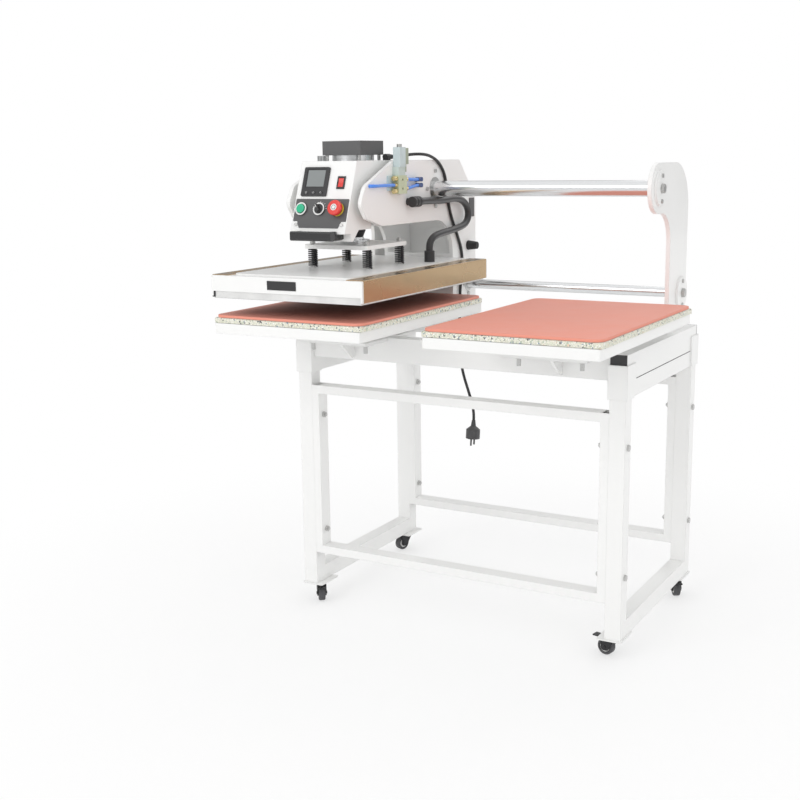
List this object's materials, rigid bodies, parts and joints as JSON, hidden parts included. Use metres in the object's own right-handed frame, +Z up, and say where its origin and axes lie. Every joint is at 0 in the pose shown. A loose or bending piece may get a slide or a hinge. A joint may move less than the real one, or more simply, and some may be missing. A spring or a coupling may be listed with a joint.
{
  "type": "heat press",
  "caption": "Pneumatic heat press with a heating head that slides on two shafts over padded lower platens, on a wheeled stand.",
  "frame": {"origin": "floor level, under the centre of the bounding box of the press without its power cord", "axes": "+X along the slide shafts from the left station to the right, -Y towards the operator, +Z up"},
  "size_m": [0.96, 0.816, 1.18],
  "materials": {
    "white_paint": "satin powder coat, lightly scuffed at edges",
    "zinc_steel": "zinc plated",
    "chrome": "polished, hard chromed",
    "black_plastic": "moulded black plastic",
    "black_rubber": "black rubber",
    "cord_black": "black cable sheath",
    "red_silicone": "matt red silicone sheet",
    "rebond_foam": "rebonded foam chips, mixed colours",
    "aluminium": "brushed aluminium",
    "bronze_cover": "mirror-like sheet with a warm tint",
    "dark_cap": "dark grey paint",
    "panel_dark": "dark printed film, left blank",
    "switch_red": "glossy red",
    "button_green": "glossy green",
    "valve_green": "pale green-yellow resin and paint",
    "coil_blue": "pale blue-grey resin",
    "brass": "sintered and turned brass",
    "tube_blue": "blue polyurethane tube",
    "black_steel": "black finish",
    "caster_tyre": "black tread, grey hub"
  },
  "bodies": {
    "stand": {"side_frame_left": "white_paint", "side_frame_right": "white_paint", "cross_frame_front": "white_paint", "cross_frame_rear": "white_paint", "base_frame": "white_paint", "tube_plugs": "black_plastic", "leg_bolts": "zinc_steel", "caster_plates": "white_paint", "platen_brackets": "white_paint", "levelling_studs": "zinc_steel", "platen_trays": "white_paint", "platen_foams": "rebond_foam", "silicone_pads": "red_silicone", "end_plate_left": "white_paint", "end_plate_right": "white_paint", "hub_bolts": "zinc_steel", "upper_shaft": "chrome", "lower_shaft": "chrome"},
    "carriage": {"arm_plates": "white_paint", "arm_cross_plates": "white_paint", "bearing_housings": "zinc_steel", "carriage_screws": "zinc_steel", "console_housing": "white_paint", "control_overlay": "panel_dark", "temperature_controller": "black_plastic", "power_switch_frame": "black_plastic", "pull_handle": "black_plastic", "cylinder_caps": "dark_cap", "cylinder_barrel": "aluminium", "tie_rods": "zinc_steel", "valve_body": "valve_green", "solenoid_coil": "coil_blue", "valve_fittings": "brass", "air_tubes": "tube_blue", "glands": "black_plastic", "bumpers": "black_rubber", "conduit": "black_rubber", "power_cord": "cord_black", "mains_plug": "black_rubber"},
    "heating_head": {"platen_cover": "white_paint", "side_covers": "bronze_cover", "heating_plate": "aluminium", "spring_bolts": "zinc_steel", "springs": "black_steel", "lower_conduit_coupling": "black_plastic"},
    "press_ram": {"piston_rod": "chrome", "pressure_plate": "white_paint"},
    "rocker": {"power_rocker": "switch_red"},
    "green_button": {"start_button": "button_green"},
    "selector_knob": {"mode_selector": "black_plastic"},
    "stop_button": {"emergency_stop": "switch_red"},
    "caster_front_left": {"caster_fork_front_left": "black_steel"},
    "wheel_front_left": {"caster_wheel_front_left": "caster_tyre"},
    "caster_front_right": {"caster_fork_front_right": "black_steel"},
    "wheel_front_right": {"caster_wheel_front_right": "caster_tyre"},
    "caster_rear_left": {"caster_fork_rear_left": "black_steel"},
    "wheel_rear_left": {"caster_wheel_rear_left": "caster_tyre"},
    "caster_rear_right": {"caster_fork_rear_right": "black_steel"},
    "wheel_rear_right": {"caster_wheel_rear_right": "caster_tyre"}
  },
  "joints": [
    {"name": "carriage_slide", "type": "slide", "parent": "stand", "child": "carriage", "axis": [1, 0, 0], "range_m": [0, 0.544]},
    {"name": "press_stroke", "type": "slide", "parent": "carriage", "child": "heating_head", "axis": [0, 0, -1], "range_m": [0, 0.0395], "stiffness_N_per_m": 2000, "springref_m": -0.25},
    {"name": "spring_compression", "type": "slide", "parent": "heating_head", "child": "press_ram", "axis": [0, 0, -1], "range_m": [0, 0.008], "stiffness_N_per_m": 80000, "springref_m": -0.002, "deforming": ["springs"]},
    {"name": "power_rocker_tilt", "type": "hinge", "parent": "carriage", "child": "rocker", "pos_m": [-0.23, -0.22804, 1.08439], "axis": [1, 0, 0], "range_deg": [-6, 6]},
    {"name": "start_button_press", "type": "slide", "parent": "carriage", "child": "green_button", "axis": [0, 0.9398, -0.3417], "range_m": [0, 0.0025], "stiffness_N_per_m": 800, "springref_m": -0.001},
    {"name": "mode_selector_turn", "type": "hinge", "parent": "carriage", "child": "selector_knob", "pos_m": [-0.277, -0.24991, 1.02425], "axis": [0, -0.9398, 0.3417], "range_deg": [-70, 0]},
    {"name": "emergency_stop_push", "type": "slide", "parent": "carriage", "child": "stop_button", "axis": [0, 0.9398, -0.3417], "range_m": [0, 0.004]},
    {"name": "caster_swivel_front_left", "type": "hinge", "parent": "stand", "child": "caster_front_left", "pos_m": [-0.407, -0.096, 0.045], "axis": [0, 0, 1], "continuous": true},
    {"name": "wheel_spin_front_left", "type": "hinge", "parent": "caster_front_left", "child": "wheel_front_left", "pos_m": [-0.39469, -0.11176, 0.02], "axis": [0.788, 0.6157, 0], "continuous": true},
    {"name": "caster_swivel_front_right", "type": "hinge", "parent": "stand", "child": "caster_front_right", "pos_m": [0.405, -0.096, 0.045], "axis": [0, 0, 1], "continuous": true},
    {"name": "wheel_spin_front_right", "type": "hinge", "parent": "caster_front_right", "child": "wheel_front_right", "pos_m": [0.38544, -0.09184, 0.02], "axis": [-0.2079, -0.9781, 0], "continuous": true},
    {"name": "caster_swivel_rear_left", "type": "hinge", "parent": "stand", "child": "caster_rear_left", "pos_m": [-0.407, 0.368, 0.045], "axis": [0, 0, 1], "continuous": true},
    {"name": "wheel_spin_rear_left", "type": "hinge", "parent": "caster_rear_left", "child": "wheel_rear_left", "pos_m": [-0.41384, 0.34921, 0.02], "axis": [0.9397, -0.342, 0], "continuous": true},
    {"name": "caster_swivel_rear_right", "type": "hinge", "parent": "stand", "child": "caster_rear_right", "pos_m": [0.405, 0.368, 0.045], "axis": [0, 0, 1], "continuous": true},
    {"name": "wheel_spin_rear_right", "type": "hinge", "parent": "caster_rear_right", "child": "wheel_rear_right", "pos_m": [0.415, 0.35068, 0.02], "axis": [0.866, 0.5, 0], "continuous": true}
  ]
}
